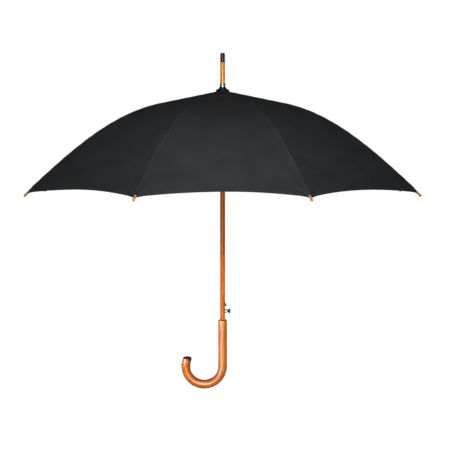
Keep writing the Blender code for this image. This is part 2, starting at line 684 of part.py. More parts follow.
def build_catch():
    """The sheet-steel catch in the shaft's slot: a leaf hinged at its top, with a wedge that faces down."""
    half = LATCH_SLOT_HALF - 0.4 * MM
    face = SHAFT_R + CATCH_OUT
    outline = [(SHAFT_R - 1.6 * MM, CATCH_HINGE_Z - 2 * MM), (SHAFT_R + 0.1 * MM, CATCH_LOW_Z + 11 * MM)]
    outline += [(face - 0.9 * MM, CATCH_LOW_Z + 4 * MM), (face, CATCH_LOW_Z + 1.8 * MM)]
    outline += [(face - 0.5 * MM, CATCH_LOW_Z + 0.3 * MM), (SHAFT_R - 1.2 * MM, CATCH_LOW_Z)]
    outline += [(SHAFT_R - 1.2 * MM, CATCH_LOW_Z + 3 * MM), (SHAFT_R - 3.0 * MM, CATCH_HINGE_Z - 2 * MM)]
    pivot = (SHAFT_R - 2.3 * MM, CATCH_HINGE_Z)
    outline += arc(pivot, 1.2 * MM, math.pi * 1.1, -math.pi * 0.1, 8)
    obj = place("bottom_catch", plate([relative(outline, pivot)], -half, half), "black_steel")
    obj.location = (pivot[0], 0, pivot[1])


def build_button():
    """The push button: a flared head on a stem that slides in the shaft's slot."""
    profile = [(0, 20.0 * MM), (3.6 * MM, 19.8 * MM), (5.7 * MM, 19.0 * MM), (6.3 * MM, 17.7 * MM)]
    profile += [(5.6 * MM, 16.4 * MM), (4.4 * MM, 15.2 * MM), (3.9 * MM, 13.6 * MM), (3.4 * MM, 12.8 * MM), (0, 12.6 * MM)]
    mesh = turned(profile, 20)
    mesh.transform(Matrix.Rotation(math.pi / 2, 4, "Y"))
    stem = rod(0.95 * MM, (1.6 * MM, 0, STEM_UP), (15 * MM, 0, STEM_UP), 10)
    place("push_button", boolean(mesh, stem, "UNION"), "black_steel", (0, 0, BUTTON_Z))


def build_button_spring():
    """The wire spring below the stem, which bows from the shaft to the back of the head."""
    wire, start, reach, rise = 0.55 * MM, SHAFT_R + 0.8 * MM, 11.9 * MM, 3.9 * MM
    turns = [-math.pi / 2 + math.pi / 2 * i / 8 for i in range(9)]
    bow = [(reach - rise + rise * math.cos(a), rise * math.sin(a)) for a in turns]
    points = [(x, 0, z) for x, z in [(start, -rise), *bow]]
    place("button_spring", tube_along(points, wire, 1), "steel", (0, 0, BUTTON_Z))


def main():
    build_folding_frame()
    build_top_notch()
    build_runner()
    build_slider()
    build_main_spring()
    build_canopy()
    build_tie_strap()
    build_shaft()
    build_spike()
    build_handle()
    build_catch()
    build_button()
    build_button_spring()


clear_scene()
PARTS = new_collection("stick_umbrella")
CUTTERS = new_collection("cutters")
CUTTERS.hide_render = True
MATERIALS = {name: material(name) for name in COLOURS}
main()
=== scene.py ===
"""Looks for the stick umbrella: cloth canopy, varnished wood, plated and painted steel, studio and camera.

Metres, in the CAD frame: +Z up the shaft, the crook curls towards -X. What repeats for each rib is built
once in the rib's own plane, where +X is the radius, +Y the tangent and +Z the height, and is turned to its
place. Arc lengths, called s, run from the shaft's axis along a rib.
"""

import json
import math
import random

import bmesh
import bpy
import numpy as np
from mathutils import Matrix, Vector


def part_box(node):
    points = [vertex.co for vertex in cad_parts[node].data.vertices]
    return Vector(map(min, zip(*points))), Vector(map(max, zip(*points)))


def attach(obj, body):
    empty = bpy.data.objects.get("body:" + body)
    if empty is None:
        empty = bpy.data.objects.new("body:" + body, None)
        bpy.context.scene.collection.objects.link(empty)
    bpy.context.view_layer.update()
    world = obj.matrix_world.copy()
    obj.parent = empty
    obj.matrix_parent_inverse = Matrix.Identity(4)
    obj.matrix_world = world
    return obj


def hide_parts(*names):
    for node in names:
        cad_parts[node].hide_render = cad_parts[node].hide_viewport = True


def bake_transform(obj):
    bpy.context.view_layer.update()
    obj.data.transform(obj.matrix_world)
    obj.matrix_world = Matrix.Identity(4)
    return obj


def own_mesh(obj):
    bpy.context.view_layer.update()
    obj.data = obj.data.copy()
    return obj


MM = 0.001
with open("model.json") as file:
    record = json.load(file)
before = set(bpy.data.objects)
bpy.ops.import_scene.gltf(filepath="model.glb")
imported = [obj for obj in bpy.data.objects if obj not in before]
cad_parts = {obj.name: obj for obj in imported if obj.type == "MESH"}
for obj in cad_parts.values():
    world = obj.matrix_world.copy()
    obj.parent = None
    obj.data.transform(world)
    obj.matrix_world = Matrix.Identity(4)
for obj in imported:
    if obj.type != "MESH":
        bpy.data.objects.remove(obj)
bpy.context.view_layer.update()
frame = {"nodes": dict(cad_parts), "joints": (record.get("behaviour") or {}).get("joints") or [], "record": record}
NODES = frame["nodes"]
BODY_OF = {n: body for body, nodes in frame["record"]["behaviour"]["bodies"].items() for n in nodes}
ROOT = "shaft_and_handle"
rng = random.Random(7)

# The rib line, the same curve as the CAD model's
RIBS = 8
RIB_STEP = 2 * math.pi / RIBS
HALF_STEP = RIB_STEP / 2
FIRST_RIB = -math.pi / 2 + HALF_STEP
APEX_Z = 632.6 * MM
SLOPE_TOP = math.radians(11.5)
SLOPE_GAIN = math.radians(30)
BEND_FROM, BEND_LENGTH, BEND_POWER = 170.0 * MM, 400.0 * MM, 2.2
NOTCH_S, JOINT_S, RIB_END_S = 11.5 * MM, 250.0 * MM, 574.0 * MM
RIB_DROP = 4.0 * MM

# The canopy's cut: its hole at the top, and its hem at a rib and how far that draws in between ribs
CANOPY_HOLE_S = 15.5 * MM
HEM_CORNER_S = 580.0 * MM
HEM_INSET = 20.0 * MM
CORNER_DIP = 2.6 * MM
GORE_SAG = 5.0 * MM
CLOTH = 0.4 * MM
# Rows and columns of a half gore, the arc length where a slope is taken, and a share to keep
ZONES = {"inner": (26, 14, 120 * MM, 0.22), "outer": (46, 26, 420 * MM, 0.14)}
# Columns crowd towards the seam and rows towards the hem; the declared cut is a little wider and longer
COLUMN_CROWDING, ROW_CROWDING = 1.35, 1.25

# Heights of what stands off the plain cloth
FOLDED_EDGE_DROP = 0.4 * MM
SEAM_FOLD, SEAM_FOLD_WIDTH = 0.35 * MM, 5.0 * MM
HEM_FOLD, HEM_FOLD_WIDTH = 0.40 * MM, 9.0 * MM
SEAM_PUCKER, PUCKER_REACH, PUCKER_LENGTH = 0.22 * MM, 9 * MM, 5.5 * MM
TIP_WRINKLE, WRINKLE_REACH, WRINKLE_START = 1.9 * MM, 38 * MM, 9 * MM
PANEL_SLACK = 0.9 * MM

# Stitches, from the cloth's edge
SEAM_STITCH_IN, HEM_STITCH_IN, STITCH_PITCH = 3.0 * MM, 6.5 * MM, 2.6 * MM

SHAFT_R = 6.3 * MM
SHAFT_SHOULDER_Z = 646.5 * MM
SLOT_TOP_Z, SLOT_WIDTH = 114.2 * MM, 3.2 * MM
BORE_R = SHAFT_R + 0.3 * MM
ROSETTE_R, ROSETTE_PLEATS = 16.6 * MM, 24
GRIP_R, GRIP_SWELL = 11.1 * MM, 0.028
CROOK_R = 46.5 * MM
BEND_Z = -62.5 * MM
CROOK_OVERRUN = math.radians(15)
CROOK_END_Z = -43.5 * MM
BUTTON_Z = 77.5 * MM
STEM_UP = 2.7 * MM

SPRING_TURNS, SPRING_WIRE, SPRING_R, SPRING_KEEP = 12, 0.55 * MM, 7.6 * MM, 0.481
THREAD_TIES = (330 * MM, 430 * MM)

STRAP_RIB = STRAP_GORE = 3
STRAP_FROM_S, STRAP_TO_S = 405 * MM, 545 * MM
STRAP_NEAR, STRAP_FAR = 3.0 * MM, 17.0 * MM
STRAP_UNDER, STRAP_TOP = 0.55 * MM, 1.45 * MM

WORLD_LIGHT = 0.05
FLOOR_GLOW = 1.0
FLOOR_GAP = 0.5 * MM
# Name, place, target, size, watts and spread in degrees
LIGHTS = [
    ("canopy_key", (-0.05, -1.9, 0.95), (0, -0.4, 0.45), (0.5, 0.3), 1.15, 34),
    ("front", (-0.1, -4.0, 0.15), (0, 0, 0.25), (1.2, 0.7), 80, 180),
    ("strip", (-0.54, -0.52, 0.0), (-0.03, 0, -0.01), (0.18, 0.16), 0.115, 34),
]
for side in (-1, 1):
    LIGHTS.append(("back_fill", (side * 2.6, 2.7, 0.8), (0, 0, 0.4), (1.6, 1.6), 26, 180))
    LIGHTS.append(("side_fill", (side * 3.6, 0.4, -0.05), (0, 0, 0.2), (1.4, 0.12), 2.5, 180))
SENSOR_MM, LENS_MM, LENS_SHIFT = 36, 115.03, 0.0053
CAMERA_AT, CAMERA_PITCH = (0, -3.613, 0.4955), math.radians(90 - 3.182)


# ---------------------------------------------------------------- materials


def node(tree, kind, inputs=None, **settings):
    made = tree.nodes.new(kind)
    for key, value in settings.items():
        setattr(made, key, value)
    for key, value in (inputs or {}).items():
        if isinstance(value, bpy.types.NodeSocket):
            tree.links.new(value, made.inputs[key])
        else:
            made.inputs[key].default_value = value
    return made


def principled(name, **sockets):
    """A new material: its tree and its shader, with constant values set on the shader's own sockets."""
    made = bpy.data.materials.new(name)
    made.use_nodes = True
    shader = made.node_tree.nodes["Principled BSDF"]
    for key, value in sockets.items():
        shader.inputs[key.replace("_", " ")].default_value = value
    return made, made.node_tree, shader


def place_of(tree, uv=None):
    """Texture coordinates in metres: a UV map's, or the object's own."""
    if uv:
        return node(tree, "ShaderNodeUVMap", uv_map=uv).outputs["UV"]
    return node(tree, "ShaderNodeTexCoord").outputs["Object"]


def coordinates(tree, scale, uv=None):
    return node(tree, "ShaderNodeMapping", {"Vector": place_of(tree, uv), "Scale": scale}).outputs["Vector"]


def split(tree, vector):
    return node(tree, "ShaderNodeSeparateXYZ", {0: vector}).outputs


def noise(tree, vector, detail=4.0, distortion=0.0):
    inputs = {"Vector": vector, "Scale": 1.0, "Detail": detail, "Distortion": distortion, "Roughness": 0.55}
    return node(tree, "ShaderNodeTexNoise", inputs).outputs["Fac"]


def ramp(tree, factor, stops):
    made = node(tree, "ShaderNodeValToRGB", {"Fac": factor})
    elements = made.color_ramp.elements
    while len(elements) < len(stops):
        elements.new(0.5)
    for element, (position, colour) in zip(elements, stops):
        element.position = position
        element.color = (*colour, 1)
    return made.outputs["Color"]


def remap(tree, value, low, high, from_low=0.0, from_high=1.0):
    inputs = {"Value": value, "From Min": from_low, "From Max": from_high, "To Min": low, "To Max": high}
    return node(tree, "ShaderNodeMapRange", inputs).outputs["Result"]


def math_node(tree, operation, a, b=0.0):
    return node(tree, "ShaderNodeMath", {0: a, 1: b}, operation=operation).outputs[0]


def mix(tree, factor, a, b, blend="MIX"):
    made = node(tree, "ShaderNodeMix", {"Factor": factor}, data_type="RGBA", blend_type=blend)
    for key, value in ((6, a), (7, b)):
        if isinstance(value, bpy.types.NodeSocket):
            tree.links.new(value, made.inputs[key])
        else:
            made.inputs[key].default_value = (*value, 1)
    return made.outputs[2]


def bump(tree, shader, height, strength, distance):
    made = node(tree, "ShaderNodeBump", {"Height": height, "Strength": strength, "Distance": distance})
    tree.links.new(made.outputs["Normal"], shader.inputs["Normal"])


def wood(name, dark, middle, light, grain, uv=None, painted_shade_edge=None, coat=1.0, darkening=None):
    """Varnished wood: long streaks, fine pores and a smooth coat, with painted shade along an edge band and darker
    where a given mask is high.
    """
    made, tree, shader = principled(
        name, Coat_Weight=coat, Coat_Roughness=0.30, Coat_IOR=1.8, Specular_IOR_Level=0.05
    )
    streaks = noise(tree, coordinates(tree, grain, uv), 5.0, 0.6)
    fine = noise(tree, coordinates(tree, [3.2 * g for g in grain], uv), 3.0, 0.2)
    blotches = noise(tree, coordinates(tree, [0.35 * g for g in grain], uv), 2.0)
    colour = ramp(tree, streaks, [(0.28, dark), (0.5, middle), (0.72, light)])
    pores = ramp(tree, fine, [(0.30, (0.62, 0.50, 0.42)), (0.46, (1.0, 1.0, 1.0))])
    colour = mix(tree, 0.3, colour, pores, "MULTIPLY")
    patches = ramp(tree, blotches, [(0.35, (0.82, 0.76, 0.70)), (0.65, (1.08, 1.06, 1.04))])
    colour = mix(tree, 0.35, colour, patches, "MULTIPLY")
    # Painted shade: the colour darkens towards the high end of a band along one axis, where an edge turns away
    # from the light.
    if painted_shade_edge:
        low, high, axis = painted_shade_edge
        edge = remap(tree, split(tree, place_of(tree))[axis], 0.0, 1.0, low, high)
        colour = mix(tree, edge, colour, (0.035, 0.012, 0.006))
    if darkening:
        colour = mix(tree, darkening(tree), colour, (0.13, 0.012, 0.004))
    tree.links.new(colour, shader.inputs["Base Color"])
    tree.links.new(remap(tree, fine, 0.26, 0.42), shader.inputs["Roughness"])
    bump(tree, shader, streaks, 0.10, 0.15 * MM)
    return made


def crook_darkening(tree):
    """How much darker the crook is on the inner side of its bend, and close to its end."""
    centre = (-CROOK_R, 0, BEND_Z)
    apart = node(tree, "ShaderNodeVectorMath", {0: place_of(tree), 1: centre}, operation="DISTANCE")
    inner = remap(tree, apart.outputs["Value"], 0.75, 0.0, 36 * MM, 42.5 * MM)
    down_the_grain = split(tree, place_of(tree, "Grain"))["Y"]
    return math_node(tree, "MAXIMUM", inner, remap(tree, down_the_grain, 0.0, 0.9, 276 * MM, 282.6 * MM))


def metal(name, base, worn, roughness, spread, scale, metallic=1.0, coat=0.0):
    """Metal or paint with fine streaks along the part, a little soil, and uneven polish."""
    made, tree, shader = principled(name, Metallic=metallic, Coat_Weight=coat, Coat_Roughness=0.12)
    streaks = noise(tree, coordinates(tree, scale), 4.0, 0.1)
    clouds = noise(tree, coordinates(tree, (90, 90, 60)), 3.0)
    colour = ramp(tree, clouds, [(0.35, base), (0.75, worn)])
    tree.links.new(colour, shader.inputs["Base Color"])
    tree.links.new(remap(tree, streaks, roughness, roughness + spread), shader.inputs["Roughness"])
    bump(tree, shader, streaks, 0.06, 0.05 * MM)
    return made


def plastic(name, base, roughness, specular=0.5):
    """A black moulded or matt surface: a faint eggshell grain and slightly uneven gloss."""
    made, tree, shader = principled(name, Specular_IOR_Level=specular)
    grain = noise(tree, coordinates(tree, (1800, 1800, 1800)), 2.0)
    clouds = noise(tree, coordinates(tree, (70, 70, 70)), 3.0)
    lighter = tuple(1.5 * c + 0.004 for c in base)
    tree.links.new(ramp(tree, clouds, [(0.3, base), (0.8, lighter)]), shader.inputs["Base Color"])
    tree.links.new(remap(tree, clouds, roughness - 0.05, roughness + 0.1), shader.inputs["Roughness"])
    bump(tree, shader, grain, 0.12, 0.06 * MM)
    return made


def sine_along(tree, value, wavelength):
    return math_node(tree, "SINE", math_node(tree, "MULTIPLY", value, 2 * math.pi / wavelength))


def cloth(name, dark, light, thread_m=0.45 * MM, stitches=True):
    """Black woven pongee: two thread directions, soft sheen, and sewn lines along the seams and the hem."""
    made, tree, shader = principled(
        name, Sheen_Weight=0.004, Sheen_Roughness=0.35, Specular_IOR_Level=0.14, Sheen_Tint=(0.6, 0.8, 1, 1)
    )
    clouds = noise(tree, coordinates(tree, (9, 9, 1), "Cloth"), 4.0, 0.4)
    colour = ramp(tree, clouds, [(0.30, dark), (0.72, light)])
    place = split(tree, place_of(tree, "Cloth"))
    weave = math_node(
        tree, "MULTIPLY", sine_along(tree, place["X"], thread_m), sine_along(tree, place["Y"], thread_m)
    )
    slub = noise(tree, coordinates(tree, (160, 1400, 1), "Cloth"), 2.0)
    height = math_node(tree, "ADD", math_node(tree, "MULTIPLY", weave, 0.5), slub)
    if stitches:
        edges = split(tree, place_of(tree, "Edges"))
        for axis, inset, run in (("X", SEAM_STITCH_IN, "Y"), ("Y", HEM_STITCH_IN, "X")):
            off = math_node(tree, "ABSOLUTE", math_node(tree, "SUBTRACT", edges[axis], inset))
            line = remap(tree, off, 1.0, 0.0, 0.25 * MM, 0.7 * MM)
            dash = remap(tree, sine_along(tree, place[run], STITCH_PITCH), 0.0, 1.0, -0.5, 0.1)
            sewn = math_node(tree, "MULTIPLY", line, dash)
            height = math_node(tree, "SUBTRACT", height, math_node(tree, "MULTIPLY", line, 1.5))
            height = math_node(tree, "ADD", height, math_node(tree, "MULTIPLY", sewn, 2.4))
            colour = mix(tree, math_node(tree, "MULTIPLY", sewn, 0.5), colour, tuple(1.7 * c for c in light))
    tree.links.new(colour, shader.inputs["Base Color"])
    tree.links.new(remap(tree, slub, 0.50, 0.68), shader.inputs["Roughness"])
    bump(tree, shader, height, 0.35, 0.10 * MM)
    return made


SHAFT_WOOD = wood(
    "shaft_wood", (0.47, 0.085, 0.001), (0.66, 0.142, 0.002), (0.85, 0.225, 0.006), (420, 420, 14), coat=0.1
)
HANDLE_WOOD = wood(
    "handle_wood",
    (0.52, 0.105, 0.004),
    (0.74, 0.185, 0.010),
    (0.88, 0.29, 0.030),
    (330, 16, 1),
    "Grain",
    # Painted shade on the grip's rounded top edge, between these heights
    (53.2 * MM, 54.4 * MM, "Z"),
    # The crook is darker on the inner side of its bend and close to its end.
    darkening=crook_darkening,
)
SPIKE_WOOD = wood(
    "spike_wood", (0.64, 0.21, 0.012), (0.82, 0.32, 0.028), (0.94, 0.44, 0.055), (420, 420, 16), coat=0.6
)
DARK_WOOD = wood(
    "dark_wood", (0.014, 0.003, 0.003), (0.032, 0.006, 0.005), (0.06, 0.010, 0.008), (300, 300, 300)
)
TIP_WOOD = wood("tip_wood", (0.50, 0.16, 0.02), (0.72, 0.27, 0.045), (0.86, 0.38, 0.08), (500, 500, 500))
CHROME = metal("chrome", (0.56, 0.59, 0.62), (0.48, 0.50, 0.53), 0.20, 0.10, (900, 900, 60))
PLATED = metal("plated_steel", (0.55, 0.56, 0.58), (0.42, 0.42, 0.43), 0.20, 0.16, (700, 700, 700))
PAINTED = metal(
    "painted_steel", (0.012, 0.012, 0.013), (0.03, 0.03, 0.031), 0.30, 0.15, (700, 700, 700), 0.0, 0.25
)
PAINTED_GLOSS = metal(
    "button_steel", (0.010, 0.011, 0.012), (0.028, 0.029, 0.03), 0.34, 0.15, (600, 600, 600), 0.0, 0.1
)
BLACK = plastic("black_plastic", (0.006, 0.006, 0.0065), 0.26)
ROSETTE_CLOTH = plastic("rosette_cloth", (0.0025, 0.0028, 0.0032), 0.75, 0.2)
THREAD = plastic("thread", (0.012, 0.013, 0.014), 0.7)
PONGEE = cloth("pongee", (0.020, 0.0235, 0.026), (0.031, 0.035, 0.038))
WEBBING = cloth("webbing", (0.016, 0.018, 0.020), (0.026, 0.029, 0.031), 0.9 * MM, False)


# ---------------------------------------------------------------- mesh helpers


def add_piece(name, mesh, material, body, replaced=(), sharp=30):
    """A named piece from a mesh: material, the body that it rides on and what it replaces."""
    mesh.materials.clear()
    mesh.materials.append(material)
    mesh.shade_smooth()
    if sharp:
        mesh.set_sharp_from_angle(angle=math.radians(sharp))
    obj = bpy.data.objects.new(name, mesh)
    bpy.context.scene.collection.objects.link(obj)
    if body:
        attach(obj, body)
    if replaced:
        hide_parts(*replaced)
    return obj


def mesh_of(bm, name):
    bmesh.ops.recalc_face_normals(bm, faces=bm.faces)
    mesh = bpy.data.meshes.new(name)
    bm.to_mesh(mesh)
    bm.free()
    return mesh


def heights(node_name):
    low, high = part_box(node_name)
    return low.z, high.z


def in_mm(*pairs, base=0.0):
    """A profile in metres, from pairs of radius and height above base in millimetres."""
    return [(r * MM, base + z * MM) for r, z in pairs]


def rounded(profile, radius, steps=3):
    """A profile with its inner corners rounded, so that turned edges catch the light."""
    result = [Vector(profile[0])]
    for before, corner, after in zip(profile, profile[1:], profile[2:]):
        before, corner, after = Vector(before), Vector(corner), Vector(after)
        cut = min(radius, (before - corner).length * 0.45, (after - corner).length * 0.45)
        start = corner + (before - corner).normalized() * cut
        end = corner + (after - corner).normalized() * cut
        for i in range(steps + 1):
            t = i / steps
            result.append(start * (1 - t) ** 2 + corner * 2 * t * (1 - t) + end * t * t)
    result.append(Vector(profile[-1]))
    return result


def rounded_ring(profile, radius, steps=3):
    """A closed profile with all its corners rounded."""
    return rounded([profile[-1], *profile, profile[0]], radius, steps)[1:-1]


def circle(radius, count):
    turns = (2 * math.pi * i / count for i in range(count))
    return [(radius * math.cos(a), radius * math.sin(a)) for a in turns]


def wire_ring(major, minor):
    return [(major + a, b) for a, b in circle(minor, 8)]


def lathe_into(bm, profile, segments, matrix, closed=False):
    """Adds a solid turned about the matrix's Z axis. An open profile starts and ends on the axis."""
    rings = []
    for r, z in profile:
        if r < 1e-7:
            rings.append([bm.verts.new(matrix @ Vector((0, 0, z)))])
        else:
            rings.append([bm.verts.new(matrix @ Vector((x, y, z))) for x, y in circle(r, segments)])
    pairs = list(zip(rings, rings[1:]))
    if closed:
        pairs.append((rings[-1], rings[0]))
    for one, two in pairs:
        for i in range(segments):
            j = (i + 1) % segments
            corners = [one[i % len(one)], one[j % len(one)], two[j % len(two)], two[i % len(two)]]
            unique = list(dict.fromkeys(corners))
            if len(unique) > 2:
                bm.faces.new(unique)


def lathe(name, profile, segments=64, matrix=None, closed=False):
    bm = bmesh.new()
    lathe_into(bm, profile, segments, matrix or Matrix.Identity(4), closed)
    return mesh_of(bm, name)


def along(start, direction):
    """A matrix that puts the origin at start and turns +Z to the direction."""
    return Matrix.Translation(start) @ Vector(direction).to_track_quat("Z", "Y").to_matrix().to_4x4()


def direction_at(points, i):
    return (points[min(i + 1, len(points) - 1)] - points[max(i - 1, 0)]).normalized()


def skin(bm, rings):
    """Joins rings of vertices into a capped tube. Gives each wall face with its ring and its side."""
    count = len(rings[0])
    walls = []
    for i, (one, two) in enumerate(zip(rings, rings[1:])):
        for k in range(count):
            m = (k + 1) % count
            walls.append((bm.faces.new((one[k], one[m], two[m], two[k])), i, k))
    bm.faces.new(list(reversed(rings[0])))
    bm.faces.new(rings[-1])
    return walls


def sweep(name, points, section, uv=None):
    """A solid swept along points in the XZ plane. section(i) gives the outline there as (sideways, upwards)
    pairs, and uv names a map of the distance round and along."""
    bm = bmesh.new()
    side = Vector((0, 1, 0))
    rings, lengths = [], [0.0]
    for i, point in enumerate(points):
        up = side.cross(direction_at(points, i)).normalized()
        rings.append([bm.verts.new(point + side * a + up * b) for a, b in section(i)])
        if i:
            lengths.append(lengths[-1] + (point - points[i - 1]).length)
    layer = bm.loops.layers.uv.new(uv) if uv else None
    for face, i, k in skin(bm, rings):
        if layer:
            step = 2 * math.pi * (rings[i][0].co - points[i]).length / len(rings[i])
            corners = ((k, i), (k + 1, i), (k + 1, i + 1), (k, i + 1))
            for loop, (across, row) in zip(face.loops, corners):
                loop[layer].uv = (step * across, lengths[row])
    return mesh_of(bm, name)


def coil_mesh(name, points, radius):
    """A round wire along the points, in frames that carry on from one point to the next."""
    bm = bmesh.new()
    rings, up = [], Vector((0, 0, 1))
    for i, point in enumerate(points):
        direction = direction_at(points, i)
        up = (up - direction * up.dot(direction)).normalized()
        side = direction.cross(up)
        rings.append([bm.verts.new(point + side * a + up * b) for a, b in circle(radius, 10)])
    skin(bm, rings)
    return mesh_of(bm, name)


def eased(value, low, high):
    t = min(1.0, max(0.0, (value - low) / (high - low)))
    return t * t * (3 - 2 * t)


def detailed_copy(node_name, material, bevel, extra=None):
    """A CAD node's own shape with softened edges, as a piece that replaces it on the same body."""
    bm = bmesh.new()
    bm.from_mesh(NODES[node_name].data)
    bmesh.ops.remove_doubles(bm, verts=bm.verts, dist=2e-6)
    bmesh.ops.dissolve_limit(bm, angle_limit=math.radians(1), verts=bm.verts, edges=bm.edges)
    edges = [e for e in bm.edges if len(e.link_faces) == 2 and e.calc_face_angle(0) > math.radians(40)]
    bmesh.ops.bevel(bm, geom=edges, offset=bevel, segments=2, affect="EDGES", profile=0.7, clamp_overlap=True)
    if extra:
        extra(bm)
    mesh = mesh_of(bm, node_name + "_detailed")
    add_piece(node_name + "_detailed", mesh, material, BODY_OF[node_name], [node_name], 35)


def cut_away(piece, bm, sharp):
    """Cuts a closed shape out of a piece, and marks the piece's sharp edges again."""
    cutter = bpy.data.objects.new("cutter", mesh_of(bm, "cutter"))
    bpy.context.scene.collection.objects.link(cutter)
    cut = piece.modifiers.new("cut", "BOOLEAN")
    cut.object, cut.operation, cut.solver = cutter, "DIFFERENCE", "EXACT"
    bpy.context.view_layer.update()
    made = bpy.data.meshes.new_from_object(piece.evaluated_get(bpy.context.evaluated_depsgraph_get()))
    piece.modifiers.clear()
    piece.data = made
    made.set_sharp_from_angle(angle=math.radians(sharp))
    bpy.data.objects.remove(cutter)


# ---------------------------------------------------------------- the rib line


def slope_at(s):
    t = np.clip((np.asarray(s, float) - BEND_FROM) / BEND_LENGTH, 0, 1)
    return SLOPE_TOP + SLOPE_GAIN * (1 - (1 - t) ** BEND_POWER)


LINE_S = np.arange(621) * MM
STEP_SLOPES = slope_at((np.arange(620) + 0.5) * MM)
LINE_R = np.concatenate([[0], np.cumsum(np.cos(STEP_SLOPES))]) * MM
LINE_Z = APEX_Z - np.concatenate([[0], np.cumsum(np.sin(STEP_SLOPES))]) * MM


def seam_line(s, below=0.0):
    """Radius and height of the canopy over a rib at an arc length, a distance below its top."""
    slope = slope_at(s)
    r, z = np.interp(s, LINE_S, LINE_R), np.interp(s, LINE_S, LINE_Z)
    return r - below * np.sin(slope), z - below * np.cos(slope)


def half_width_at(s):
    """From a gore's middle line to its seam, straight across."""
    return np.interp(s, LINE_S, LINE_R) * math.sin(HALF_STEP)


def rib_point(s, above=0.0):
    """A point in the rib's plane, on its centre line or a distance above it."""
    r, z = seam_line(s, RIB_DROP - above)
    return Vector((float(r), 0.0, float(z)))


def rib_direction(slope):
    return Vector((math.cos(slope), 0, -math.sin(slope)))


def rib_turn(i):
    return Matrix.Rotation(FIRST_RIB + i * RIB_STEP, 4, "Z")


# ---------------------------------------------------------------- canopy


def hem_length(across):
    return HEM_CORNER_S - HEM_INSET * (1 - across * across)


GORE_WAVES = [[(rng.uniform(0, 6.28), rng.uniform(0, 6.28)) for _ in range(4)] for _ in range(RIBS)]


def relief(gore, s, across):
    """How far the cloth stands off its plain surface: sewn edges, wrinkles from the tips, slack."""
    aside = (1 - np.abs(across)) * half_width_at(s)
    to_hem = hem_length(across) - s
    reach = np.hypot(aside, np.maximum(to_hem, 0))
    turn = np.arctan2(aside, np.maximum(to_hem, 1e-6))
    phase = 1.3 * gore + 0.9 * np.where(across > 0, 1.0, 0.0)
    fan = np.cos(6.5 * turn + phase) * np.sin(np.clip(2 * turn, 0, math.pi)) ** 0.5
    fade = np.exp(-reach / WRINKLE_REACH) * (1 - np.exp(-((reach / WRINKLE_START) ** 2)))
    wrinkles = TIP_WRINKLE * fade * fan
    seam_fold = SEAM_FOLD * np.clip((SEAM_FOLD_WIDTH - aside) / (1.2 * MM), 0, 1)
    hem_fold = HEM_FOLD * np.clip((HEM_FOLD_WIDTH - to_hem) / (1.5 * MM), 0, 1)
    seam_pucker = SEAM_PUCKER * np.exp(-aside / PUCKER_REACH) * np.sin(s / PUCKER_LENGTH + phase)
    slack = 0.0
    for k, (one, two) in enumerate(GORE_WAVES[gore]):
        slack = slack + np.sin(s * (14 + 9 * k) + one) * np.cos(across * (1.6 + 0.9 * k) + two) / (1 + k)
    slack = PANEL_SLACK * slack * (1 - across**2) * np.clip(s / (200 * MM), 0, 1)
    return wrinkles + np.maximum(seam_fold, hem_fold) + seam_pucker + slack - FOLDED_EDGE_DROP


def cloth_points(gore, s, across, below=0.0):
    """Points of a gore by arc length and place across, from -1 at its first rib to 1 at its second."""
    s, across = np.asarray(s, float), np.asarray(across, float)
    r, z = seam_line(s, below)
    lean = np.arctan(np.tan(slope_at(s)) / math.cos(HALF_STEP))
    sag = GORE_SAG * (1 - across**2) * np.sin(math.pi * np.minimum(1.0, 0.75 * s / RIB_END_S + 0.1))
    sag = sag * np.clip(s / (80 * MM), 0, 1)
    depth = sag - relief(gore, s, across) * np.clip((s - CANOPY_HOLE_S) / (60 * MM), 0, 1)
    aside = (1 - np.abs(across)) * half_width_at(s)
    corner = np.exp(-(((HEM_CORNER_S - s) / (16 * MM)) ** 2) - (aside / (14 * MM)) ** 2)
    depth = depth + CORNER_DIP * corner
    x = r * math.cos(HALF_STEP) - depth * np.sin(lean)
    y = r * math.sin(HALF_STEP) * across
    z = z - depth * np.cos(lean)
    turn = FIRST_RIB + RIB_STEP * (gore + 0.5)
    cosine, sine = math.cos(turn), math.sin(turn)
    return np.stack([x * cosine - y * sine, x * sine + y * cosine, z], -1)


def cloth_normals(gore, s, across):
    """Normals of the whole gore, so that its pieces join with no crease."""
    ds, da = 0.6 * MM, 0.003
    down = cloth_points(gore, s + ds, across) - cloth_points(gore, s - ds, across)
    one, two = np.clip(across + da, -1, 1), np.clip(across - da, -1, 1)
    normals = np.cross(down, cloth_points(gore, s, one) - cloth_points(gore, s, two))
    return normals / np.linalg.norm(normals, axis=-1, keepdims=True)


